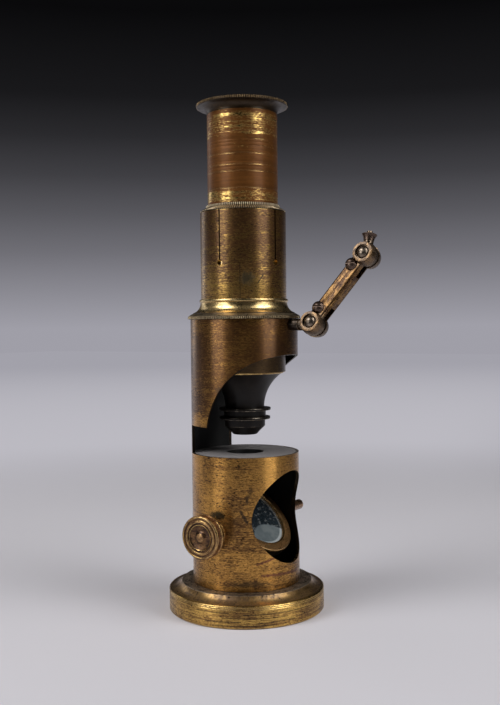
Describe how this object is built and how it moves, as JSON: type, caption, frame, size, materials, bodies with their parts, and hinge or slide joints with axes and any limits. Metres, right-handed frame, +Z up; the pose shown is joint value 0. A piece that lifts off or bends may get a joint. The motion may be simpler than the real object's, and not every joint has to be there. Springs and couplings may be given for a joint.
{
  "type": "drum microscope",
  "caption": "Brass drum microscope with a sliding body tube, draw tube, lift-out eyepiece, turning mirror and jointed lens arm on a round weighted foot.",
  "frame": {"origin": "centre of the foot's underside", "axes": "+Z up along the tubes, -Y to the front with the mirror window, stage opening and arm, -X to the knob"},
  "size_m": [0.0747, 0.0831, 0.1939],
  "materials": {
    "foot_brass": "worn lacquer, pitted",
    "drum_brass": "brushed, brown lacquer",
    "sleeve_brass": "polished, stained",
    "milled_brass": "milled edge, dark lacquer",
    "tube_brass": "red brown lacquer",
    "black_brass": "blackened",
    "knob_brass": "copper brown, worn",
    "arm_brass": "dark, scratched",
    "pin_steel": "browned steel",
    "lens_glass": "clear",
    "silvered_glass": "old silvering",
    "lead": "cast lead"
  },
  "bodies": {
    "stand": {"foot": "foot_brass", "foot_weight": "lead", "foot_plate": "foot_brass", "drum": "drum_brass", "stage_plate": "black_brass", "stage_ring": "drum_brass", "drum_cap": "sleeve_brass", "spring_sleeve": "sleeve_brass", "axle_bushes": "drum_brass", "stud_bush": "milled_brass"},
    "body": {"body_tube": "tube_brass", "focus_collar": "milled_brass", "nose_cone": "black_brass", "glare_stop": "black_brass", "upper_cell": "black_brass", "upper_objective_lens": "lens_glass", "lower_cell": "black_brass", "lower_objective_lens": "lens_glass"},
    "draw": {"draw_tube": "tube_brass", "draw_tube_ferrule": "tube_brass"},
    "eyepiece": {"eyepiece_cap": "milled_brass", "eyepiece_tube": "tube_brass", "eye_lens": "lens_glass", "eye_lens_ring": "tube_brass", "field_stop": "black_brass", "field_lens": "lens_glass", "field_lens_ring": "tube_brass"},
    "mirror": {"mirror_axle": "knob_brass", "mirror_knob": "knob_brass", "mirror_cell": "knob_brass", "mirror_set_screw": "pin_steel", "mirror_glass": "silvered_glass", "mirror_bezel": "knob_brass"},
    "stud": {"arm_stud": "arm_brass", "stud_nut": "arm_brass"},
    "arm": {"arm_bar": "arm_brass", "lower_pivot_pin": "pin_steel", "upper_pivot_pin": "pin_steel", "clamp_screws": "pin_steel"},
    "spindle": {"lens_spindle": "arm_brass", "spindle_cap": "arm_brass"}
  },
  "joints": [
    {"name": "focus_slide", "type": "slide", "parent": "stand", "child": "body", "axis": [0, 0, 1], "range_m": [0, 0.026]},
    {"name": "draw_slide", "type": "slide", "parent": "body", "child": "draw", "axis": [0, 0, 1], "range_m": [-0.0333, 0.006]},
    {"name": "eyepiece_lift", "type": "slide", "parent": "draw", "child": "eyepiece", "axis": [0, 0, 1], "range_m": [0, 0.036]},
    {"name": "mirror_turn", "type": "hinge", "parent": "stand", "child": "mirror", "pos_m": [0, 0, 0.0326], "axis": [1, 0, 0], "continuous": true},
    {"name": "arm_swivel", "type": "hinge", "parent": "stand", "child": "stud", "pos_m": [0, -0.0207, 0.10925], "axis": [0, -1, 0], "range_deg": [-73, 107]},
    {"name": "arm_lower", "type": "hinge", "parent": "stud", "child": "arm", "pos_m": [0, -0.03075, 0.10925], "axis": [-0.9563, 0, 0.2924], "range_deg": [-145, 34]},
    {"name": "arm_upper", "type": "hinge", "parent": "arm", "child": "spindle", "pos_m": [0.00761, -0.04865, 0.13415], "axis": [-0.9563, 0, 0.2924], "range_deg": [-125, 60]}
  ]
}
